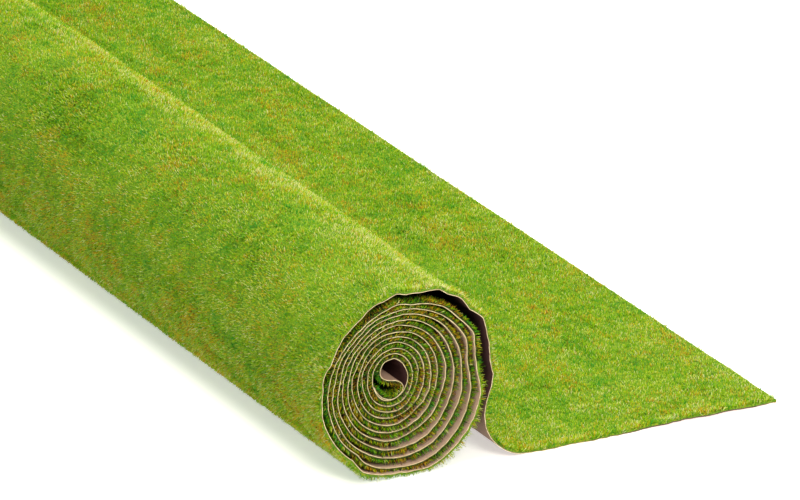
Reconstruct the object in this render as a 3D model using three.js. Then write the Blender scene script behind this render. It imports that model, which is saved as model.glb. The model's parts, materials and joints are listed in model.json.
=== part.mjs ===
// A rolled grass mat for a model landscape: green fibre pile on a kraft paper backing.
// The sheet is wound pile outward, with its inner turns pushed a little along the roll. Its loose
// outer turn comes down beside the roll, and its free end lies flat.
// Millimetres, +Z up, +Y along the roll. Sections are drawn in X and Z, seen from -Y.
import * as THREE from 'three';

const { smoothstep } = THREE.MathUtils;

// The sheet as it was cut, and the layers it is made of.
const MAT_LENGTH = 1200;
const MAT_WIDTH = 600;
const PAPER = 0.25;
const ADHESIVE = 0.1;
const PILE = 1.5;
const LAYER_GAP = 0.02;

// The winding. Turns count from the top of the hollow in the middle and run clockwise.
const CORE_RADIUS = 5.0;
const PITCH = 1.545;
const PITCH_GROWTH = 0.03;
const OVAL = 0.5;
const CORE_X = 3.3;
const LAST_TURN = 11.25;
const STATIONS_PER_TURN = 28;

// The outermost turn springs away from the roll.
const LOOSE_FROM = 10.75;
const LOOSE_TO = 11.15;
const LOOSE = 1.9;

// The inner turns stand further along the roll than the outer ones: the near end is dished.
const DISH = 7.4;

// Between two turns the pile fills the room that the next turn's paper leaves.
const TURN_CLEARANCE = 0.2;

// The inner end of the sheet curls back inside the first turn, paper to paper.
const CURL_FROM = 0.7;
const CURL_TO = 0.36;
const CURL_INSET = PAPER + 0.13;
const CURL_PILE = 0.9;
const TIGHTEST_FILL = 0.6;
const LOWEST_PILE = 0.2;

// The inner end crosses the hollow along its wall, then turns up its left lobe. Both places are
// measured from the middle of the roll.
const WALL = new THREE.Vector2(1, -0.9);
const ACROSS_WALL = new THREE.Vector2(-2.2, 0.26);
const LOBE = new THREE.Vector2(-3.5, 2.2);
const UP_LOBE = new THREE.Vector2(0, 1.8);
const CORE_LEAVE = 1.1;
const CORE_ARRIVE = 2.2;
const CORE_BEND_STATIONS = 7;

// The free end: it leaves the roll, is pinched in, reaches the ground at the foot and lies flat.
const PINCH = new THREE.Vector2(28.2, 12.6);
const THROUGH_PINCH = new THREE.Vector2(0.3, -4.6);
const FOOT_X = 44;
const ONTO_GROUND = new THREE.Vector2(10, 0);
const RISER_LEAVE = 5;
const RISER_STATIONS = 8;
const FOOT_STATIONS = 12;
const FLAP_STRIPS = 3;

// At a crease the layers end on slanted faces, which leave room for the strips to fold up.
const CREASE_GAP = 0.15;
const CREASE_SLOPE = Math.tan(THREE.MathUtils.degToRad(17));

const pileBase = PAPER / 2 + ADHESIVE + 2 * LAYER_GAP;
const bottomTurn = LAST_TURN - 0.75;
const bottomReach = CORE_RADIUS + (PITCH + PITCH_GROWTH * bottomTurn) * bottomTurn + OVAL;
const coreHeight = bottomReach + pileBase + PILE;
const core = new THREE.Vector2(CORE_X, coreHeight);

function spiralPoint(turn, inset = 0) {
  const radius = CORE_RADIUS + (PITCH + PITCH_GROWTH * turn) * turn - inset
    + LOOSE * smoothstep(turn, LOOSE_FROM, LOOSE_TO);
  const angle = 2 * Math.PI * turn;
  return new THREE.Vector2(
    CORE_X + (radius - OVAL) * Math.sin(angle),
    coreHeight + (radius + OVAL) * Math.cos(angle),
  );
}

// How far along the roll a turn stands.
function dishedBy(turn) {
  return DISH * (1 - (turn / LAST_TURN) ** 2);
}

// Points along a spiral, from one turn number to another.
function spiralStations(from, to, inset = 0) {
  const count = Math.ceil(Math.abs(to - from) * STATIONS_PER_TURN);
  const stations = [];
  for (let i = 0; i <= count; i += 1) {
    const turn = from + (to - from) * i / count;
    const along = inset ? DISH : dishedBy(turn);
    stations.push({ point: spiralPoint(turn, inset), turn, inset, along });
  }
  return stations;
}

// A smooth stretch between two points that leaves and arrives along the given vectors.
function bendStations(start, leave, end, arrive, count, along) {
  const curve = new THREE.CubicBezierCurve(
    start,
    start.clone().add(leave),
    end.clone().sub(arrive),
    end,
  );
  return curve.getPoints(count).slice(1).map((point) => ({ point, along }));
}

function direction(turn, sign, length) {
  const step = 0.001 * sign;
  return spiralPoint(turn + step).sub(spiralPoint(turn)).setLength(length);
}

// The sheet's middle line, from its inner end to the foot.
function windingStations() {
  const curl = spiralStations(CURL_FROM, CURL_TO, CURL_INSET);
  const winding = spiralStations(0, LAST_TURN);
  const curlEnd = curl.at(-1).point;
  const wall = core.clone().add(WALL);
  const lobe = core.clone().add(LOBE);
  const foot = new THREE.Vector2(FOOT_X, PAPER / 2);
  const offCurl = direction(CURL_TO, -1, CORE_LEAVE);
  const ontoTurn = direction(0, 1, CORE_ARRIVE);
  const downRiser = direction(LAST_TURN, 1, RISER_LEAVE);
  const comesAway = winding.at(-1).point;
  return [
    ...curl,
    ...bendStations(curlEnd, offCurl, wall, ACROSS_WALL, CORE_BEND_STATIONS, DISH),
    ...bendStations(wall, ACROSS_WALL, lobe, UP_LOBE, CORE_BEND_STATIONS, DISH),
    ...bendStations(lobe, UP_LOBE, winding[0].point, ontoTurn, CORE_BEND_STATIONS, DISH),
    ...winding.slice(1),
    ...bendStations(comesAway, downRiser, PINCH, THROUGH_PINCH, RISER_STATIONS, 0),
    ...bendStations(PINCH, THROUGH_PINCH, foot, ONTO_GROUND, FOOT_STATIONS, 0),
  ];
}

// Each station gets its unit normal towards the grass, and its height of pile.
function addNormals(stations) {
  stations.forEach((station, i) => {
    const before = stations[Math.max(i - 1, 0)].point;
    const after = stations[Math.min(i + 1, stations.length - 1)].point;
    const along = after.clone().sub(before).normalize();
    station.normal = new THREE.Vector2(-along.y, along.x);
  });
}

// Where the sheet bends towards its grass, the pile is lower than the bend's radius.
function bendLimit(stations, i) {
  if (i === 0 || i === stations.length - 1) {
    return PILE;
  }
  const into = stations[i].point.clone().sub(stations[i - 1].point);
  const out = stations[i + 1].point.clone().sub(stations[i].point);
  const turning = Math.asin(into.clone().normalize().cross(out.clone().normalize()));
  if (turning <= 0) {
    return PILE;
  }
  const radius = (into.length() + out.length()) / 2 / turning;
  return Math.max(TIGHTEST_FILL * radius - pileBase, LOWEST_PILE);
}

function addPileHeights(stations) {
  const stack = PAPER / 2 + pileBase + TURN_CLEARANCE;
  stations.forEach((station, i) => {
    const { turn, inset } = station;
    let room = PILE;
    if (inset || (turn === undefined && station.along > 0)) {
      room = CURL_PILE;
    } else if (turn !== undefined && turn + 1 <= LAST_TURN) {
      const nextTurn = spiralPoint(turn + 1).sub(station.point);
      room = nextTurn.dot(station.normal) - stack;
    }
    station.room = Math.min(PILE, room, bendLimit(stations, i));
  });
  stations.forEach((station, i) => {
    const around = stations.slice(Math.max(i - 1, 0), i + 2);
    station.pile = Math.min(...around.map((near) => near.room));
  });
}

function lengthOf(stations) {
  let length = 0;
  for (let i = 1; i < stations.length; i += 1) {
    length += stations[i].point.distanceTo(stations[i - 1].point);
  }
  return length;
}

function creaseInset(height) {
  return CREASE_GAP + height * CREASE_SLOPE;
}

// A layer between two distances from the sheet's middle line, ending on a slanted crease face.
function windingOutline(stations, low, high) {
  const lowSide = stations.map((s) => s.point.clone().addScaledVector(s.normal, low(s)));
  const highSide = stations.map((s) => s.point.clone().addScaledVector(s.normal, high(s)));
  for (const side of [lowSide, highSide]) {
    const last = side.at(-1);
    last.x -= creaseInset(last.y);
  }
  const places = stations.map((s) => s.along);
  return { points: [...lowSide, ...highSide.reverse()], places: [...places, ...places.toReversed()] };
}

// A layer of one flat strip. The last strip ends in the sheet's square cut edge.
function stripOutline(from, to, low, high, isLast) {
  const bottom = low + PAPER / 2;
  const top = high + PAPER / 2;
  const rightBottom = isLast ? 0 : creaseInset(bottom);
  const rightTop = isLast ? 0 : creaseInset(top);
  const points = [
    new THREE.Vector2(from + creaseInset(bottom), bottom),
    new THREE.Vector2(to - rightBottom, bottom),
    new THREE.Vector2(to - rightTop, top),
    new THREE.Vector2(from + creaseInset(top), top),
  ];
  return { points, places: points.map(() => 0) };
}

// Which of the points lies closest to a spot.
function nearest(points, spot) {
  const distances = points.map((point) => point.distanceToSquared(spot));
  return distances.indexOf(Math.min(...distances));
}

// Every piece is a section drawn in X and Z and run along the whole width of the mat. Each corner
// of the section has its own place along the roll.
function layerMesh(name, { points, places }, material) {
  const settings = { depth: MAT_WIDTH, steps: 1, bevelEnabled: false };
  const geometry = new THREE.ExtrudeGeometry(new THREE.Shape(points), settings);
  geometry.rotateX(Math.PI / 2);
  geometry.translate(0, MAT_WIDTH / 2, 0);
  const corners = geometry.attributes.position;
  for (let i = 0; i < corners.count; i += 1) {
    const corner = nearest(points, new THREE.Vector2(corners.getX(i), corners.getZ(i)));
    corners.setY(i, corners.getY(i) + places[corner]);
  }
  const mesh = new THREE.Mesh(geometry, material);
  mesh.name = name;
  return mesh;
}

const layers = [
  {
    name: 'paper',
    low: () => -PAPER / 2,
    high: () => PAPER / 2,
    material: new THREE.MeshStandardMaterial({ color: 0xb79a86, roughness: 0.85, metalness: 0 }),
  },
  {
    name: 'adhesive',
    low: () => PAPER / 2 + LAYER_GAP,
    high: () => PAPER / 2 + LAYER_GAP + ADHESIVE,
    material: new THREE.MeshStandardMaterial({ color: 0x5b5a34, roughness: 0.6, metalness: 0 }),
  },
  {
    name: 'pile',
    low: () => pileBase,
    high: (station) => pileBase + station.pile,
    material: new THREE.MeshStandardMaterial({ color: 0x6fa52a, roughness: 0.9, metalness: 0 }),
  },
];

const stations = windingStations();
addNormals(stations);
addPileHeights(stations);
const stripLength = (MAT_LENGTH - lengthOf(stations)) / FLAP_STRIPS;

const mat = new THREE.Group();
for (const { name, low, high, material } of layers) {
  mat.add(layerMesh(`${name}_roll`, windingOutline(stations, low, high), material));
  for (let strip = 0; strip < FLAP_STRIPS; strip += 1) {
    const from = FOOT_X + strip * stripLength;
    const flat = { pile: PILE };
    const isLast = strip === FLAP_STRIPS - 1;
    const outline = stripOutline(from, from + stripLength, low(flat), high(flat), isLast);
    mat.add(layerMesh(`${name}_flap_${strip + 1}`, outline, material));
  }
}

// The origin is under the middle of the whole mat.
const box = new THREE.Box3().setFromObject(mat);
mat.position.x = -(box.min.x + box.max.x) / 2;
mat.position.y = -(box.min.y + box.max.y) / 2;

export default mat;
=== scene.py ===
import json
import math

import bpy
import numpy as np
from mathutils import Matrix, Vector


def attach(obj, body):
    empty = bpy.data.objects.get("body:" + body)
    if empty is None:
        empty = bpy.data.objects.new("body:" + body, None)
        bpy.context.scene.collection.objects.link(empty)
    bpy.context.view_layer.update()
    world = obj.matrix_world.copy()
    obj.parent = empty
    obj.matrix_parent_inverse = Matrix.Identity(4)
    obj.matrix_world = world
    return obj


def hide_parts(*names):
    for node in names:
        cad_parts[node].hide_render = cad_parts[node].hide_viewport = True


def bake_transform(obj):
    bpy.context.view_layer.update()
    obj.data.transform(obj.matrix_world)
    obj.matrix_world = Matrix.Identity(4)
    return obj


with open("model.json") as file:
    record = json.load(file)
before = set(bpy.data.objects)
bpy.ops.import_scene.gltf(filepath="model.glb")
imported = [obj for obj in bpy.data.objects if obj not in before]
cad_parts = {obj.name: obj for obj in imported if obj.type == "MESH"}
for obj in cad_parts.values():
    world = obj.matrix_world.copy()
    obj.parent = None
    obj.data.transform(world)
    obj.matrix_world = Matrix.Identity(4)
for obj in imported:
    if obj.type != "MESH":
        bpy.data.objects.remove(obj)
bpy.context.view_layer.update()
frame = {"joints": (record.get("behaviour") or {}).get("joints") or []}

# A grass mat for a model landscape: fibre pile on kraft paper, wound into a roll, with its free end lying
# flat. The section is drawn in millimetres in X and Z, as the CAD model has it, and MM turns it to metres.
MM = 0.001

# The sheet and its layers. The paper is drawn thinner than the CAD model has it, within its thickness.
MAT_WIDTH = 600.0
HALF = MAT_WIDTH / 2
PAPER = 0.25
THIN_PAPER = 0.18
ADHESIVE = 0.1
LAYER_GAP = 0.02
FIBRE = 1.5
INNER_FIBRE = 1.3
LEAST_PILE = 0.25
OPEN_ROOM = 99.0
FLOOR_REACH = 200.0
FLOOR_GAP = 0.1
UNDERLAYER_SHARE = 0.34
PILE_BASE = PAPER / 2 + ADHESIVE + 2 * LAYER_GAP

# The winding, as in the CAD model. Turns count from the top of the hollow and run clockwise.
CORE_RADIUS = 5.0
PITCH = 1.545
PITCH_GROWTH = 0.03
OVAL = 0.5
CORE_X = 3.3
LAST_TURN = 11.25
BOTTOM_TURN = LAST_TURN - 0.75
CAD_PILE = 1.5
LOOSE_FROM = 10.75
LOOSE_TO = 11.15
LOOSE = 1.9
DISH = 7.4

# The inner end: it curls back inside the first turn, crosses the hollow and turns up its left lobe. The wall
# and the lobe are measured from the middle of the roll.
CURL_FROM = 0.7
CURL_TO = 0.36
CURL_INSET = PAPER + 0.13
WALL = np.array([1.0, -0.9])
ACROSS_WALL = np.array([-2.2, 0.26])
LOBE = np.array([-3.5, 2.2])
UP_LOBE = np.array([0.0, 1.8])
CORE_LEAVE = 1.1
CORE_ARRIVE = 2.2

# The free end: it leaves the roll, is pinched in and reaches the ground at the foot.
RISER_LEAVE = 5.0
PINCH = np.array([28.2, 12.6])
THROUGH_PINCH = np.array([0.3, -4.6])
FOOT_X = 44.0
ONTO_GROUND = np.array([10.0, 0.0])
CORE_HEIGHT = (CORE_RADIUS + (PITCH + PITCH_GROWTH * BOTTOM_TURN) * BOTTOM_TURN + OVAL
               + PILE_BASE + CAD_PILE)

# The hinge lines across the free end, and where the section's own zero lies in the row frame.
HINGES = [joint["pos_m"][0] / MM for joint in frame["joints"]]
SHIFT_X = HINGES[0] - FOOT_X
SHIFT_Y = -DISH / 2
STRIP = HINGES[1] - HINGES[0]

# Over each hinge line the sheet bends across this share of a strip, and a new piece starts at that one.
# A new piece starts this share of a strip past each hinge line.
SPLIT_SHARE = 0.8

# How far the turns stand off the smooth spiral. The middle turns bulge by this much at each part of a turn,
# and the two outermost are creased. Each pair is a place, in turns, and a distance outwards.
BULGE_FROM = 6.0
BULGE_TO = 8.3
BULGE = [(0, -0.2), (0.13, 0.45), (0.25, 0.5), (0.32, 1.0), (0.42, 1.4), (0.5, 0.8), (0.58, 0.1), (0.7, 0),
         (0.8, -0.25), (0.9, -0.5), (1, -0.2)]
CREASED_FROM = 8.9
CREASES = [
    (8.9, -0.6), (9, -0.4), (9.05, -0.25), (9.1, 0.2), (9.18, 1), (9.23, -0.5), (9.26, 0.1), (9.285, 1.2),
    (9.33, 1.75), (9.39, 2.1), (9.45, 1.9), (9.5, 1), (9.55, 0.95), (9.58, 0.4), (9.605, -0.7),
    (9.65, -0.35), (9.75, -0.1), (9.8, -0.3), (9.83, -0.7), (9.9, -0.9), (9.95, -0.55), (9.99, 0),
    (10.02, -0.8), (10.06, -0.1), (10.09, 0.4), (10.13, 0.15), (10.175, 1.2), (10.2, 0.1), (10.225, -0.5),
    (10.25, -0.3), (10.27, 0.6), (10.29, 1.6), (10.35, 2), (10.42, 2), (10.46, 1.8), (10.5, 0),
    (10.54, 0.25), (10.58, 0.6), (10.61, -0.9), (10.65, -0.45), (10.72, 0.2), (10.77, 0.1), (10.795, 0.7),
    (10.815, -0.3), (10.87, -0.1), (10.91, -0.6), (10.94, -0.1), (10.96, -0.45), (10.985, 0.3),
    (11, -0.8), (11.03, -0.7), (11.06, 0.75), (11.08, 0), (11.105, 0.6), (11.13, -0.45), (11.16, 1.05),
    (11.19, -0.1), (11.23, -0.9), (11.27, -0.1), (11.34, 0),
]
LOWEST = 1.4

# The creases are sharp at the cut ends. This far in, in millimetres, they give way to a soft section, whose
# creases are spread over that many steps along the sheet.
CREASE_DEPTH = 16.0
SOFTEN = 14

# The section is drawn with points this far apart along the sheet.
STEP = 1.0
CURL_POINTS = 80
WINDING_POINTS = 9000
BEND_POINTS = 60
FOOT_POINTS = 90
RISER_TURN_STEP = 0.005
NEIGHBOURS = 4
NO_STATION = -99
LEAST_REACH = 0.05

# Slow unevenness: of the outer turn, and of the cut ends.
WAVES = 9
WAVER = 0.3
WAVER_SIZE = 55
END_UNEVEN = 0.28
END_UNEVEN_SIZE = 9
END_RAGGED = 0.12
END_RAGGED_SIZE = 2.5
END_DEPTH = 6.0

# The free end's near and far edges lift off the floor by this much, over this depth across the sheet.
NEAR_LIFT = 0.5
NEAR_LIFT_DEPTH = 28.0
FAR_LIFT = 0.7
FAR_LIFT_DEPTH = 40.0

# Fibres: how many to the square millimetre on the open pile and at the cut ends, and how they stand.
FIELD_DENSITY = 4.8
EDGE_DENSITY = 8.0
EDGE_DEPTH = 4.0
FOOT_INSET = 0.05
MAX_FIBRES_PER_PIECE = 48000
LEAN = 0.62
INNER_LEAN = 0.8
TUFT_LEAN = 0.2
CUT_DEPTH = 0.8
CUT_LEAN = 0.5
INNER_CUT_LEAN = 1.8
CUT_STRETCH = 0.45
HALF_WIDTH = (0.07, 0.125)
TIP_SHARE = (0.4, 0.75)
INNER_BROADER = 1.35

# The pile is paler near the cut ends, and along the roll's crest as a painted sheen. It is warmer low on its
# side, and darker there as painted shade. The crest and the side are places in turns.
PALE_END = 1.2
PALE_DEPTH = 70.0
CREST = 11.07
CREST_WIDTH = 0.045
LOWER_SIDE = 10.7
LOWER_SIDE_WIDTH = 0.12


def smoothstep(x, low, high):
    u = np.clip((x - low) / (high - low), 0.0, 1.0)
    return u * u * (3 - 2 * u)


def waves(x, y, size, seed):
    """A smooth irregular field, mostly from -1 to 1, with features about that many millimetres across."""
    r = np.random.default_rng(seed)
    total = np.zeros(np.broadcast(x, y).shape)
    for _ in range(WAVES):
        angle, phase, scale = r.uniform(0, 2 * math.pi), r.uniform(0, 2 * math.pi), r.uniform(0.6, 1.6)
        reach = 2 * math.pi / (size * scale)
        total = total + np.sin((x * math.cos(angle) + y * math.sin(angle)) * reach + phase)
    return total / math.sqrt(WAVES)


# ---------------------------------------------------------------- the sheet's middle line

def spiral(turn, inset=0.0):
    """The paper's middle at a turn number, or that much nearer the middle of the roll."""
    turn = np.asarray(turn, float)
    radius = (CORE_RADIUS + (PITCH + PITCH_GROWTH * turn) * turn - inset
              + LOOSE * smoothstep(turn, LOOSE_FROM, LOOSE_TO))
    angle = 2 * math.pi * turn
    x = CORE_X + (radius - OVAL) * np.sin(angle)
    z = CORE_HEIGHT + (radius + OVAL) * np.cos(angle)
    return np.stack([x, z], -1)


def heading(turn, sign, length):
    """A vector of that length along the spiral, outwards or, with sign -1, inwards."""
    step = spiral(turn + 0.001 * sign) - spiral(turn)
    return step / np.linalg.norm(step) * length


def bend(start, leave, end, arrive, count=BEND_POINTS):
    """A smooth stretch between two points that leaves and arrives along the given vectors."""
    u = np.linspace(0, 1, count)[1:, None]
    a, b, c, d = start, start + leave, end - arrive, end
    return a * (1 - u) ** 3 + 3 * b * u * (1 - u) ** 2 + 3 * c * u ** 2 * (1 - u) + d * u ** 3


def hollow_and_winding():
    """Points of the sheet inside the hollow, and those of the winding with their turn numbers."""
    core = np.array([CORE_X, CORE_HEIGHT])
    wall, lobe = core + WALL, core + LOBE
    curl = spiral(np.linspace(CURL_FROM, CURL_TO, CURL_POINTS), CURL_INSET)
    turns = np.linspace(0, LAST_TURN, WINDING_POINTS)
    winding = spiral(turns)
    hollow = np.vstack([
        curl,
        bend(curl[-1], heading(CURL_TO, -1, CORE_LEAVE), wall, ACROSS_WALL),
        bend(wall, ACROSS_WALL, lobe, UP_LOBE),
        bend(lobe, UP_LOBE, winding[0], heading(0, 1, CORE_ARRIVE))[:-1],
    ])
    return hollow, winding, turns


def middle_line():
    """The whole sheet in section, from its inner end to its cut edge, at even steps. Gives the distances
    along it, the points and their turn numbers: -1 in the hollow, and above LAST_TURN past the winding."""
    hollow, winding, turns = hollow_and_winding()
    foot = np.array([FOOT_X, PAPER / 2])
    riser = np.vstack([
        bend(winding[-1], heading(LAST_TURN, 1, RISER_LEAVE), PINCH, THROUGH_PINCH),
        bend(PINCH, THROUGH_PINCH, foot, ONTO_GROUND, FOOT_POINTS),
    ])
    flat_end = np.array([[HINGES[2] - SHIFT_X + STRIP, PAPER / 2]])
    points = np.vstack([hollow, winding, riser, flat_end])
    onwards = LAST_TURN + RISER_TURN_STEP * np.arange(1, len(riser) + 1)
    turn = np.concatenate([np.full(len(hollow), -1.0), turns, onwards, [LAST_TURN + 1]])
    length = np.concatenate([[0], np.cumsum(np.linalg.norm(np.diff(points, axis=0), axis=1))])
    count = int(round(length[-1] / STEP)) + 1
    even = np.linspace(0, length[-1], count)
    where = np.stack([np.interp(even, length, points[:, k]) for k in (0, 1)], -1)
    return even, where, np.interp(even, length, turn)


def normals(points):
    """Unit normals of a line of points, towards the grass."""
    along = np.gradient(points, axis=0)
    along /= np.linalg.norm(along, axis=1)[:, None]
    return np.stack([-along[:, 1], along[:, 0]], -1)


def stand_off(turn):
    """How far the paper stands outwards of the smooth spiral."""
    place, bulge = zip(*BULGE)
    crease_place, crease = zip(*CREASES)
    bulging = np.interp(np.mod(turn, 1), place, bulge) * smoothstep(turn, BULGE_FROM, BULGE_TO)
    creased = np.interp(turn, crease_place, crease)
    share = smoothstep(turn, CREASED_FROM, CREASED_FROM + 0.1)
    return bulging * (1 - share) + creased * share


def displaced(offset):
    """The middle line moved outwards, but not into the floor, with its normals."""
    line = SMOOTH_LINE + normals(SMOOTH_LINE) * offset[:, None]
    line[:, 1] = np.where(ON_WINDING, np.maximum(line[:, 1], LOWEST), line[:, 1])
    return line, normals(line)


def softened(values, spread):
    """Values smoothed over about that many steps."""
    kernel = np.exp(-0.5 * (np.arange(-3 * spread, 3 * spread + 1) / spread) ** 2)
    padded = np.pad(values, 3 * spread, mode="edge")
    return np.convolve(padded, kernel / kernel.sum(), mode="valid")


# The section at the two cut ends, where the creases are sharp, and in the middle of the roll.
S, SMOOTH_LINE, TURN = middle_line()
ON_WINDING = (TURN >= 0) & (TURN <= LAST_TURN)
OFFSETS = np.where(TURN >= 0, stand_off(TURN), 0)
LINE, NORMAL = displaced(OFFSETS)
SOFT_LINE, SOFT_NORMAL = displaced(softened(OFFSETS, SOFTEN))

# Distances along the sheet: of its cut edge, the hinge lines, just before the first of them, where the free
# end's fibres start, the start of the winding, the middle of the wall across the hollow, where shade is
# painted, and the start of the outer turn, whose pile is open to the light.
S_END = float(S[-1])
FREE_END = S > S_END - 100
S_HINGE = [float(np.interp(x - SHIFT_X, LINE[FREE_END][:, 0], S[FREE_END])) for x in HINGES]
BENDING_FROM = S_HINGE[0] - 3
S_TURN_0 = float(S[np.argmax(ON_WINDING)])
S_WALL_SHADE = S_TURN_0 - 16.5
S_OUTER = float(np.interp(LAST_TURN - 1.02, TURN[ON_WINDING], S[ON_WINDING]))


def room_ahead(line, normal):
    """How far each station's outward normal runs before it meets the sheet again, or the floor."""
    start = line[:, None]
    way = normal[:, None]
    floor = np.array([[-FLOOR_REACH, FLOOR_GAP], [FLOOR_REACH, FLOOR_GAP]])
    low = np.vstack([line[:-1], floor[:1]])[None]
    high = np.vstack([line[1:], floor[1:]])[None]
    side = high - low
    across = way[..., 0] * side[..., 1] - way[..., 1] * side[..., 0]
    across = np.where(np.abs(across) < 1e-9, 1e-9, across)
    gap = low - start
    reach = (gap[..., 0] * side[..., 1] - gap[..., 1] * side[..., 0]) / across
    place = (gap[..., 0] * way[..., 1] - gap[..., 1] * way[..., 0]) / across
    station = np.arange(len(line))
    neighbour = np.abs(station[:, None] - np.append(station[:-1], NO_STATION)[None]) < NEIGHBOURS
    hit = (reach > LEAST_REACH) & (place >= 0) & (place <= 1) & ~neighbour
    return np.where(hit, reach, OPEN_ROOM).min(1)


def pile_room(line, normal):
    """How much height the pile has at each station before it meets the next turn's paper."""
    room = room_ahead(line, normal) - PAPER / 2 - PILE_BASE
    room = np.minimum(np.minimum(room, np.roll(room, 1)), np.roll(room, -1))
    longest = np.where(S < S_OUTER, INNER_FIBRE, FIBRE)
    return np.clip(room, LEAST_PILE, longest)


ROOM = np.minimum(pile_room(LINE, NORMAL), pile_room(SOFT_LINE, SOFT_NORMAL))


def at(s, y):
    """Points and normals of the sheet's section at distances along it, at that place across it."""
    crease = np.exp(-(HALF - np.abs(y)) / CREASE_DEPTH)[..., None]
    point, normal = (
        np.stack([np.interp(s, S, soft[:, k]) for k in (0, 1)], -1) * (1 - crease)
        + np.stack([np.interp(s, S, sharp[:, k]) for k in (0, 1)], -1) * crease
        for soft, sharp in ((SOFT_LINE, LINE), (SOFT_NORMAL, NORMAL))
    )
    return point, normal / np.linalg.norm(normal, axis=-1)[..., None]


def lift(x, z, y):
    """How high the free end's near and far edges lift off the floor."""
    from_end = y + HALF
    along = smoothstep(x, FOOT_X + 22, FOOT_X + 48) * (1 - 0.75 * smoothstep(x, FOOT_X + 62, FOOT_X + 78))
    near = NEAR_LIFT * along * np.exp(-(from_end / NEAR_LIFT_DEPTH) ** 2)
    far = FAR_LIFT * smoothstep(x, FOOT_X + 30, FOOT_X + 70)
    far = far * np.exp(-((MAT_WIDTH - from_end) / FAR_LIFT_DEPTH) ** 2)
    return np.where(z < 1.0, near + far, 0)


def slide(s, y, turn):
    """How far the sheet stands along the roll from its place: by its uneven cut ends, and by the dish."""
    nowhere = 0 * s
    end = (END_UNEVEN * waves(s, nowhere, END_UNEVEN_SIZE, 11)
           + END_RAGGED * waves(s, nowhere, END_RAGGED_SIZE, 12))
    uneven = np.exp(-(np.abs(np.abs(y) - HALF) / END_DEPTH)) * end
    dished = DISH * (1 - (np.clip(turn, 0, LAST_TURN) / LAST_TURN) ** 2)
    return uneven, dished


def surface(s, y, height):
    """Row-frame points, in metres, of the sheet at s and y, at that height above its middle line."""
    point, normal = at(s, y)
    turn = np.interp(s, S, TURN)
    waver = WAVER * smoothstep(turn, LAST_TURN - 0.55, LAST_TURN - 0.1) * waves(s, y, WAVER_SIZE, 31)
    waver = waver * smoothstep(point[..., 1], 1.5, 8)
    offset = (height + waver)[..., None] * normal
    x, z = point[..., 0] + offset[..., 0], point[..., 1] + offset[..., 1]
    z = np.maximum(z + lift(point[..., 0], point[..., 1], y), 0.0)
    uneven, dished = slide(s, y, turn)
    return np.stack([x + SHIFT_X, y + uneven + dished + SHIFT_Y, z], -1) * MM


# ---------------------------------------------------------------- materials

def linear(red, green, blue):
    """An sRGB colour, 0 to 255, as the linear colour that a shader takes."""
    def one(c):
        c /= 255
        return c / 12.92 if c <= 0.04045 else ((c + 0.055) / 1.055) ** 2.4
    return (one(red), one(green), one(blue), 1.0)


def new_material(name, roughness):
    material = bpy.data.materials.new(name)
    material.use_nodes = True
    shader = material.node_tree.nodes["Principled BSDF"]
    shader.inputs["Roughness"].default_value = roughness
    return material, material.node_tree, shader


def noise_ramp(tree, scale, detail, colours, coordinates):
    """A noise texture through a colour ramp. colours is a list of place and colour."""
    noise = tree.nodes.new("ShaderNodeTexNoise")
    noise.inputs["Scale"].default_value = scale
    noise.inputs["Detail"].default_value = detail
    tree.links.new(coordinates, noise.inputs["Vector"])
    ramp = tree.nodes.new("ShaderNodeValToRGB")
    while len(ramp.color_ramp.elements) < len(colours):
        ramp.color_ramp.elements.new(0.5)
    for element, (place, colour) in zip(ramp.color_ramp.elements, colours):
        element.position = place
        element.color = colour
    tree.links.new(noise.outputs["Fac"], ramp.inputs["Fac"])
    return noise, ramp


def mix(tree, mode, factor, first, second):
    """factor is a number, or the output that sets it."""
    node = tree.nodes.new("ShaderNodeMix")
    node.data_type = "RGBA"
    node.blend_type = mode
    if isinstance(factor, float):
        node.inputs["Factor"].default_value = factor
    else:
        tree.links.new(factor, node.inputs["Factor"])
    tree.links.new(first, node.inputs["A"])
    tree.links.new(second, node.inputs["B"])
    return node.outputs["Result"]


def bump(tree, height, shader, strength, distance):
    node = tree.nodes.new("ShaderNodeBump")
    node.inputs["Strength"].default_value = strength
    node.inputs["Distance"].default_value = distance
    tree.links.new(height, node.inputs["Height"])
    tree.links.new(node.outputs["Normal"], shader.inputs["Normal"])


# What the paper is multiplied by where shade is painted on it.
SHADE_TINT = (114, 96, 108)


def with_painted_shade(tree, attribute, colour):
    """That colour, darkened by painted shade as far as the mesh attribute says."""
    amount = tree.nodes.new("ShaderNodeAttribute")
    amount.attribute_name = attribute
    dark = tree.nodes.new("ShaderNodeRGB")
    dark.outputs["Color"].default_value = linear(*SHADE_TINT)
    darker = mix(tree, "MULTIPLY", 1.0, colour, dark.outputs["Color"])
    return mix(tree, "MIX", amount.outputs["Fac"], colour, darker)


def kraft_material():
    material, tree, shader = new_material("kraft_paper", 0.82)
    shader.inputs["Specular IOR Level"].default_value = 0.25
    place = tree.nodes.new("ShaderNodeTexCoord").outputs["Object"]
    _, mottle = noise_ramp(tree, 55, 3, [
        (0.3, linear(195, 170, 152)),
        (0.7, linear(208, 184, 166)),
    ], place)
    specks, fibres = noise_ramp(tree, 1400, 4, [
        (0.28, linear(168, 140, 118)),
        (0.5, linear(236, 222, 205)),
        (0.8, linear(250, 242, 228)),
    ], place)
    colour = mix(tree, "MULTIPLY", 0.35, mottle.outputs["Color"], fibres.outputs["Color"])
    tree.links.new(with_painted_shade(tree, "painted_shade", colour), shader.inputs["Base Color"])
    bump(tree, specks.outputs["Fac"], shader, 0.35, 0.00006)
    return material


def cut_edge_material():
    material, tree, shader = new_material("paper_cut_edge", 0.9)
    place = tree.nodes.new("ShaderNodeTexCoord").outputs["Object"]
    _, torn = noise_ramp(tree, 700, 3, [
        (0.3, linear(176, 160, 118)),
        (0.7, linear(226, 212, 172)),
    ], place)
    # Darkened along the free end by painted shade.
    tree.links.new(with_painted_shade(tree, "edge_painted_shade", torn.outputs["Color"]), shader.inputs["Base Color"])
    return material


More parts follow.
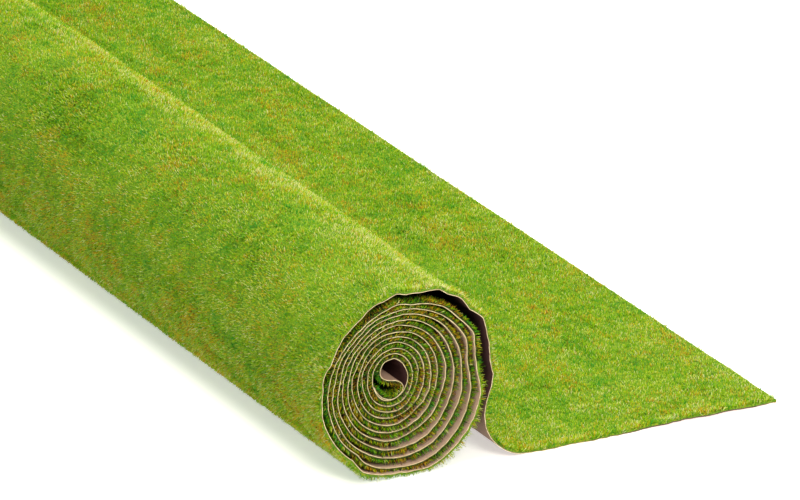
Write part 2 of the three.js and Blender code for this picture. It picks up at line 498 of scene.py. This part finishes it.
def adhesive_material():
    material, tree, shader = new_material("adhesive", 0.45)
    place = tree.nodes.new("ShaderNodeTexCoord").outputs["Object"]
    lumps, tone = noise_ramp(tree, 500, 3, [
        (0.3, linear(62, 66, 24)),
        (0.7, linear(104, 102, 48)),
    ], place)
    tree.links.new(tone.outputs["Color"], shader.inputs["Base Color"])
    bump(tree, lumps.outputs["Fac"], shader, 0.4, 0.0001)
    return material


def painted_shade_end_material():
    """The pile's foot where the sheet is cut through, painted dark as shade."""
    material, tree, shader = new_material("pile_cut_end_painted_shade", 0.95)
    place = tree.nodes.new("ShaderNodeTexCoord").outputs["Object"]
    _, tone = noise_ramp(tree, 1300, 3, [
        (0.3, linear(16, 26, 6)),
        (0.5, linear(46, 62, 12)),
        (0.62, linear(84, 84, 24)),
        (0.75, linear(70, 44, 20)),
    ], place)
    tree.links.new(tone.outputs["Color"], shader.inputs["Base Color"])
    return material


def underlayer_material():
    """The dense foot of the pile, seen between the standing fibres."""
    material, tree, shader = new_material("pile_underlayer", 0.9)
    place = tree.nodes.new("ShaderNodeTexCoord").outputs["Object"]
    tufts, tone = noise_ramp(tree, 1500, 4, [
        (0.25, linear(60, 100, 10)),
        (0.42, linear(88, 130, 14)),
        (0.55, linear(118, 152, 20)),
        (0.68, linear(150, 156, 34)),
        (0.82, linear(140, 112, 28)),
    ], place)
    _, patches = noise_ramp(tree, 60, 2, [
        (0.3, linear(196, 214, 170)),
        (0.7, linear(255, 250, 225)),
    ], place)
    colour = mix(tree, "MULTIPLY", 0.6, tone.outputs["Color"], patches.outputs["Color"])
    tree.links.new(colour, shader.inputs["Base Color"])
    bump(tree, tufts.outputs["Fac"], shader, 0.9, 0.0004)
    return material


# Fibre dyes and two tones of painted shade: the colour, how common it is on the open pile and among the
# turns' ends, and how much more common where the patch is warm and where it is light.
DYES = [
    ("lime", (150, 182, 14), 0.22, 0.14, 0.3, 0.7),
    ("pale_lime", (178, 194, 86), 0.14, 0.06, 0.2, 1.3),
    ("grass", (118, 164, 8), 0.23, 0.18, -0.4, 0.2),
    ("leaf", (102, 150, 8), 0.15, 0.17, -0.7, -0.6),
    ("deep_green", (80, 120, 8), 0.05, 0.08, -0.5, -1.2),
    ("emerald", (64, 150, 52), 0.06, 0.04, -1.6, -0.2),
    ("yellow", (188, 172, 36), 0.05, 0.09, 1.2, 0.8),
    ("straw", (182, 144, 40), 0.045, 0.10, 1.5, 0.1),
    ("bleached", (204, 206, 150), 0.03, 0.02, 0.6, 2.0),
    ("brown", (134, 100, 32), 0.02, 0.09, 1.2, -0.8),
    # The last two are painted shade among the turns' ends; the darker mix there is partly the pile's own
    # brown, partly painted shade.
    ("painted_shade_green", (42, 68, 12), 0.0, 0.08, -0.4, -1.0),
    ("painted_shade_brown", (84, 58, 30), 0.0, 0.05, 1.0, -1.0),
]


def fibre_materials():
    """One plain dye each. The mesh mixes them fibre by fibre."""
    made = []
    for name, colour, *_ in DYES:
        material, _, shader = new_material("fibre_" + name, 0.6)
        shader.inputs["Base Color"].default_value = linear(*colour)
        shader.inputs["Specular IOR Level"].default_value = 0.1
        made.append(material)
    return made


# ---------------------------------------------------------------- mesh building

def mesh_object(name, points, faces, materials, slots):
    """faces is an array of faces with the same number of corners each, and slots their material numbers."""
    mesh = bpy.data.meshes.new(name)
    sides = faces.shape[1]
    mesh.vertices.add(len(points))
    mesh.vertices.foreach_set("co", points.astype(np.float32).ravel())
    mesh.loops.add(faces.size)
    mesh.loops.foreach_set("vertex_index", faces.astype(np.int32).ravel())
    mesh.polygons.add(len(faces))
    mesh.polygons.foreach_set("loop_start", np.arange(0, faces.size, sides, dtype=np.int32))
    mesh.polygons.foreach_set("loop_total", np.full(len(faces), sides, dtype=np.int32))
    mesh.polygons.foreach_set("use_smooth", np.full(len(faces), True))
    for material in materials:
        mesh.materials.append(material)
    mesh.polygons.foreach_set("material_index", slots.astype(np.int32))
    mesh.update(calc_edges=True)
    piece = bpy.data.objects.new(name, mesh)
    bpy.context.scene.collection.objects.link(piece)
    return piece


def painted_shade_amount(s):
    """Painted shade on the paper's underside along the sheet: most in the hollow and where it leaves the
    roll.
    """
    turn = np.interp(s, S, TURN)
    # Painted shade: in the hollow, on the wall across it and under the last turn, less towards the foot.
    hollow = smoothstep(turn, -0.5, 0.0) * (1 - smoothstep(turn, 0.34, 0.44))
    in_core = s < S_TURN_0
    wall = np.exp(-((s - S_WALL_SHADE) / 1.6) ** 2)
    last = smoothstep(turn, LAST_TURN - 0.45, LAST_TURN - 0.3)
    height = at(s, np.full(s.shape, -HALF))[0][:, 1]
    down = 0.62 + 0.38 * smoothstep(height, 8, 22)
    on_sheet = s < S_HINGE[0]
    return np.clip(np.maximum(np.where(in_core, wall, hollow), last * down * on_sheet), 0, 1)


def rows_across():
    """Places along Y, close together near the two cut ends."""
    near = np.array([0, 0.6, 1.4, 2.6, 4.5, 7, 11, 17, 26, 38, 54, 74, 98, 126, 158, 194, 234, 277])
    half = near - HALF
    return np.concatenate([half, [0.0], -half[::-1]])


def sheet_faces(index, upward):
    quads = np.stack([index[:-1, :-1], index[1:, :-1], index[1:, 1:], index[:-1, 1:]], -1).reshape(-1, 4)
    return quads[:, ::-1] if upward else quads


def wall_faces(a, b):
    return np.stack([a[:-1], a[1:], b[1:], b[:-1]], -1)


def solid_faces(rows, columns):
    """Faces of a closed solid between two grids of points: top, bottom, two cut ends, first and last edge."""
    lower = np.arange(rows * columns).reshape(rows, columns)
    upper = lower + rows * columns
    return [
        sheet_faces(upper, True),
        sheet_faces(lower, False),
        wall_faces(lower[:, 0], upper[:, 0])[:, ::-1],
        wall_faces(lower[:, -1], upper[:, -1]),
        wall_faces(lower[0], upper[0]),
        wall_faces(lower[-1], upper[-1])[:, ::-1],
    ]


def finish_slots(kind, s, columns, faces, last):
    """The cut ends take the last material. So does the pile inside the roll, and only there; for the pile it
    is painted shade.
    """
    wound = (0.5 * (s[:-1] + s[1:]) < S_OUTER).astype(int)
    if kind == "pile":
        end, top = wound, np.repeat(wound, columns - 1)
    else:
        end, top = np.full(len(wound), last), np.zeros(len(faces[0]), int)
    return np.concatenate([top, 0 * top, end, end] + [np.zeros(len(f)) for f in faces[4:]])


def add_painted_shade(piece, s, columns):
    """The paper's painted shade, and that of its cut edge along the free end, for the materials to read."""
    # Painted shade on the cut edge along the free end.
    flap_edge_shade = smoothstep(s, S_HINGE[0] + 20, S_HINGE[0] + 34) * (1 - smoothstep(s, S_END - 8, S_END))
    for attribute, amount in (("painted_shade", painted_shade_amount(s)), ("edge_painted_shade", flap_edge_shade)):
        value = np.tile(np.repeat(amount, columns), 2)
        painted_shade = piece.data.attributes.new(attribute, "FLOAT", "POINT")
        painted_shade.data.foreach_set("value", value.astype(np.float32))


def layer(kind, name, s_from, s_to, low, high, materials, roughen):
    """A closed thin solid between two heights above the sheet's middle line, from s_from to s_to."""
    inside = S[(S > s_from + 1e-6) & (S < s_to - 1e-6)]
    s = np.concatenate([[s_from], inside, [s_to]])
    s_grid, y_grid = np.meshgrid(s, rows_across(), indexing="ij")
    low_height, high_height = (np.broadcast_to(h(s_grid), s_grid.shape).copy() for h in (low, high))
    if roughen:
        high_height += roughen * waves(s_grid, y_grid, 3.1, 41) + roughen * waves(s_grid, y_grid, 7.7, 42)
        high_height = np.maximum(high_height, low_height + 0.06)
    bottom = surface(s_grid, y_grid, low_height)
    top = surface(s_grid, y_grid, high_height)
    rows, columns = s_grid.shape
    faces = solid_faces(rows, columns)
    slots = finish_slots(kind, s, columns, faces, len(materials) - 1)
    points = np.concatenate([bottom.reshape(-1, 3), top.reshape(-1, 3)])
    piece = mesh_object(name, points, np.concatenate(faces), materials, slots)
    piece.data.set_sharp_from_angle(angle=math.radians(50))
    if kind == "paper":
        add_painted_shade(piece, s, columns)
    return piece


def fibre_aim(r, s, y, inner):
    """Which way each fibre points: mostly up, leaning at random, in tufts, and out of the cut ends."""
    count = len(s)
    _, normal = at(s, y)
    up = np.stack([normal[:, 0], 0 * s, normal[:, 1]], -1)
    along = np.stack([normal[:, 1], 0 * s, -normal[:, 0]], -1)
    across = np.tile([0.0, 1.0, 0.0], (count, 1))
    angle = r.uniform(0, 2 * math.pi, count)
    lean = np.abs(r.normal(0, INNER_LEAN if inner else LEAN, count))
    outwards = at_cut(y) * r.uniform(-0.1, INNER_CUT_LEAN if inner else CUT_LEAN, count) * np.sign(y)
    lean_along = lean * np.cos(angle) + TUFT_LEAN * waves(s, y, 2.2, 46)
    lean_across = lean * np.sin(angle) + TUFT_LEAN * waves(s, y, 2.2, 47) + outwards
    aim = up + along * lean_along[:, None] + across * lean_across[:, None]
    return aim / np.linalg.norm(aim, axis=1)[:, None]


def at_cut(y):
    """1 at the cut ends, falling to 0 a little way in."""
    return np.exp(-(HALF - np.abs(y)) / CUT_DEPTH)


def slivers(r, foot, tip, aim, inner):
    """The four corners of each fibre: its foot is an edge one way and its tip an edge the other way, so it
    keeps its width from every side."""
    count = len(foot)
    spin = r.normal(0, 1, (count, 3))
    one = np.cross(aim, spin)
    one /= np.linalg.norm(one, axis=1)[:, None]
    two = np.cross(one, aim)
    foot_width = r.uniform(*HALF_WIDTH, count)[:, None] * (INNER_BROADER if inner else 1)
    tip_width = foot_width * r.uniform(*TIP_SHARE, count)[:, None]
    points = np.stack([foot - one * foot_width, foot + one * foot_width,
                       tip - two * tip_width, tip + two * tip_width], 1)
    points[:, :, 2] = np.maximum(points[:, :, 2], 0.02)
    return points


def choose_dyes(r, s, y, reach, inner):
    """A dye for each fibre. Patches are warmer or lighter, and long fibres are lighter than short ones."""
    count = len(s)
    to_end = HALF - np.abs(y)
    warmth = 0.8 * waves(s, y, 13, 51) + 0.6 * waves(s, y, 40, 52) + 0.6 * waves(s, y, 4.5, 53)
    warmth += 0 if inner else 0.6 * lower_side(s)
    lightness = 0.4 * waves(s, y, 3.2, 54) + 0.8 * waves(s, y, 10, 55) + 0.5 * waves(s, y, 28, 56)
    # The painted sheen on the crest and the painted shade low on the side and past the valley come in here.
    lightness += 3.2 * (reach - 0.9) + (0 if inner else paleness_and_painted_light(s, to_end))
    common = np.array([dye[3] if inner else dye[2] for dye in DYES])
    warm = np.array([dye[4] for dye in DYES])
    light = np.array([dye[5] for dye in DYES])
    weight = common * np.exp(1.0 * warm * warmth[:, None] + 0.6 * light * lightness[:, None])
    weight = np.cumsum(weight / weight.sum(1)[:, None], axis=1)
    return (r.uniform(0, 1, count)[:, None] > weight).sum(1).clip(0, len(DYES) - 1)


def fibres(name, s, y, inner, seed, materials):
    """One closed four-cornered sliver for each fibre, standing in the adhesive at s and y."""
    count = len(s)
    r = np.random.default_rng(seed)
    reach = r.uniform(0.7, 1.1, count)
    length = np.interp(s, S, ROOM) * reach * (1 + 0.1 * waves(s, y, 3, 45)) * (1 + CUT_STRETCH * at_cut(y))
    aim = fibre_aim(r, s, y, inner)
    foot = surface(s, y, np.full(count, PILE_BASE + 0.01)) / MM
    tip = foot + aim * length[:, None]
    points = slivers(r, foot, tip, aim, inner)
    first = np.arange(count)[:, None] * 4
    corner = np.array([[0, 2, 1], [0, 1, 3], [0, 3, 2], [1, 2, 3]])
    faces = (first[:, :, None] + corner[None]).reshape(-1, 3)
    dye = choose_dyes(r, s, y, reach, inner)
    return mesh_object(name, points.reshape(-1, 3) * MM, faces, materials, np.repeat(dye, 4))


def lower_side(s):
    """1 low on the roll's outer side, 0 elsewhere."""
    return np.exp(-((np.interp(s, S, TURN) - LOWER_SIDE) / LOWER_SIDE_WIDTH) ** 2)


def paleness_and_painted_light(s, to_end):
    """How much lighter the pile is: near the cut ends, along the free edge, and on the crest as painted
    sheen.
    """
    turn = np.interp(s, S, TURN)
    # Painted sheen along the crest.
    crest = 1.5 * np.exp(-((turn - CREST) / CREST_WIDTH) ** 2)
    edge = 1.2 * np.exp(-(S_END - s) / 7)
    # Painted shade: darker from past the valley on, and low on the roll's side.
    valley = 0.2 * smoothstep(s, S_HINGE[0], S_HINGE[0] + 25)
    return PALE_END * np.exp(-to_end / PALE_DEPTH) + crest + edge - valley - 0.5 * lower_side(s)


def scatter(s_from, s_to, density, seed):
    """Random places for fibres, spread evenly."""
    r = np.random.default_rng(seed)
    count = int((s_to - s_from) * MAT_WIDTH * density)
    return r.uniform(s_from, s_to, count), r.uniform(-HALF, HALF, count)


def edge_scatter(s_from, s_to, density, seed):
    """Fibres near both cut ends, closest together right at the cut."""
    r = np.random.default_rng(seed)
    count = int((s_to - s_from) * EDGE_DEPTH * density)
    places = []
    for sign in (-1, 1):
        s = r.uniform(s_from, s_to, count)
        depth = EDGE_DEPTH * r.uniform(0, 1, count) ** 1.5
        places.append((s, sign * (HALF - FOOT_INSET - depth)))
    return np.concatenate([p[0] for p in places]), np.concatenate([p[1] for p in places])


# ---------------------------------------------------------------- the mat

kraft, cut_edge = kraft_material(), cut_edge_material()
adhesive, underlayer, painted_shade_end = adhesive_material(), underlayer_material(), painted_shade_end_material()
dyes = fibre_materials()

SPLITS = [0.0, S_HINGE[0] + SPLIT_SHARE * STRIP, S_HINGE[1] + SPLIT_SHARE * STRIP, S_END]


def follow(piece):
    """Bakes the piece's transform; part 0 lies over the first hinge line, part 1 over the second, part 2 the
    third.
    """
    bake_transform(piece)


def underlayer_height(s):
    return PILE_BASE + UNDERLAYER_SHARE * np.interp(s, S, ROOM)


# Each layer's name, slot, lower and upper height, materials and roughness.
LAYERS = [
    ("paper", "kraft_paper", lambda s: -THIN_PAPER / 2, lambda s: THIN_PAPER / 2, [kraft, cut_edge], 0),
    ("adhesive", "adhesive", lambda s: THIN_PAPER / 2 + LAYER_GAP, lambda s: PILE_BASE - LAYER_GAP,
     [adhesive], 0),
    ("pile", "grass_pile", lambda s: PILE_BASE, underlayer_height, [underlayer, painted_shade_end], 0.1),
]

# The sheet's three lengths: their names, the CAD nodes they stand for and how the sheet is held there.
PARTS = [
    ("wound", ["_roll", "_flap_1"], "folded"),
    ("flap_middle", ["_flap_2"], "laid"),
    ("flap_end", ["_flap_3"], "laid"),
]


def make_layers():
    """The paper's three lengths, and for each of them the pieces that lie on it."""
    papers, others = [], [[] for _ in PARTS]
    for kind, slot, low, high, finishes, roughen in LAYERS:
        for part, (part_name, nodes, _) in enumerate(PARTS):
            ends = SPLITS[part], SPLITS[part + 1]
            piece = layer(kind, f"{kind}_{part_name}", *ends, low, high, finishes, roughen)
            follow(piece)
            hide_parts(*[kind + node for node in nodes])
            (papers if kind == "paper" else others[part]).append(piece)
    return papers, others


def plant(name, s, y, inner, part, seed):
    """Fibres in as many pieces as it takes, which ride on the roll or lie on that part of the sheet."""
    planted = []
    order = np.argsort(y, kind="stable")
    for k, chosen in enumerate(np.array_split(order, max(1, math.ceil(len(s) / MAX_FIBRES_PER_PIECE)))):
        piece = fibres(f"{name}_{k + 1}", s[chosen], y[chosen], inner, seed + k, dyes)
        if part is None:
            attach(piece, "roll")
        else:
            follow(piece)
        planted.append(piece)
    return planted


def plant_roll():
    """The open pile of the outer turn, and the fibres at the cut ends of all turns."""
    outer = S_OUTER, BENDING_FROM
    edges = EDGE_DENSITY / 2
    return (
        plant("fibres_roll", *scatter(*outer, FIELD_DENSITY, 61), False, None, 71)
        + plant("fibres_turn_ends", *edge_scatter(0, S_OUTER, EDGE_DENSITY, 62), True, None, 91)
        + plant("fibres_roll_ends", *edge_scatter(*outer, edges, 63), False, None, 101)
    )


def plant_flap(part, name):
    """The open pile on one part of the free end."""
    start = BENDING_FROM if part == 0 else SPLITS[part]
    ends = start, SPLITS[part + 1] - FOOT_INSET
    s, y = scatter(*ends, FIELD_DENSITY, 111 + part)
    s_end, y_end = edge_scatter(*ends, EDGE_DENSITY / 2, 121 + part)
    places = np.concatenate([s, s_end]), np.concatenate([y, y_end])
    return plant(f"fibres_{name}", *places, False, part, 131 + 10 * part)


def make_mat():
    papers, others = make_layers()
    others[0] += plant_roll()
    for part, name in enumerate(["flap_start", "flap_middle", "flap_end"]):
        others[part] += plant_flap(part, name)


# ---------------------------------------------------------------- floor, light and camera

def make_floor():
    """Pale, and a little bright by itself, so that shadows stay faint."""
    bpy.ops.mesh.primitive_plane_add(size=8, location=(0, 0, 0))
    floor = bpy.context.object
    floor.name = "floor"
    material, _, shader = new_material("floor", 0.9)
    shader.inputs["Base Color"].default_value = (0.9, 0.9, 0.9, 1)
    shader.inputs["Emission Color"].default_value = (1, 1, 1, 1)
    shader.inputs["Emission Strength"].default_value = 0.42
    floor.data.materials.append(material)


def area_light(name, place, aim, size, power, colour):
    data = bpy.data.lights.new(name, "AREA")
    data.color = colour
    data.size = size
    data.energy = power
    light = bpy.data.objects.new(name, data)
    light.location = place
    light.rotation_euler = (Vector(aim) - Vector(place)).to_track_quat("-Z", "Y").to_euler()
    bpy.context.scene.collection.objects.link(light)


def make_light():
    """A broad soft light above and a small one near the cut end, in a dim white surround."""
    world = bpy.data.worlds.new("studio")
    world.use_nodes = True
    world.node_tree.nodes["Background"].inputs["Color"].default_value = (1, 1, 1, 1)
    world.node_tree.nodes["Background"].inputs["Strength"].default_value = 0.3
    bpy.context.scene.world = world
    area_light("overhead", (0.0, 0.1, 1.8), (0, 0, 0), 2.4, 54, (1.0, 0.95, 0.87))
    area_light("key", (-0.3, -1.5, 1.0), (0, -0.25, 0), 0.5, 13.5, (1.0, 0.95, 0.88))
    bpy.context.scene.view_settings.view_transform = "Standard"
    bpy.context.scene.view_settings.look = "Medium High Contrast"


def make_camera():
    """A long lens, looking down on the roll's near end from the side away from the free end."""
    azimuth, elevation, roll = (math.radians(angle) for angle in (29.19, 21.66, 0.94))
    distance = 2.1344
    aim = Vector((1.28 + SHIFT_X, SHIFT_Y - HALF, 67.06)) * MM
    ahead = Vector((math.sin(azimuth) * math.cos(elevation), math.cos(azimuth) * math.cos(elevation),
                    -math.sin(elevation)))
    data = bpy.data.cameras.new("camera")
    data.lens = 360
    data.sensor_width = 36
    camera = bpy.data.objects.new("camera", data)
    camera.location = aim - ahead * distance
    camera.rotation_euler = (ahead.to_track_quat("-Z", "Y").to_matrix()
                             @ Matrix.Rotation(roll, 3, "Z")).to_euler()
    data.clip_end = 20
    bpy.context.scene.collection.objects.link(camera)
    bpy.context.scene.camera = camera


make_mat()
make_floor()
make_light()
make_camera()
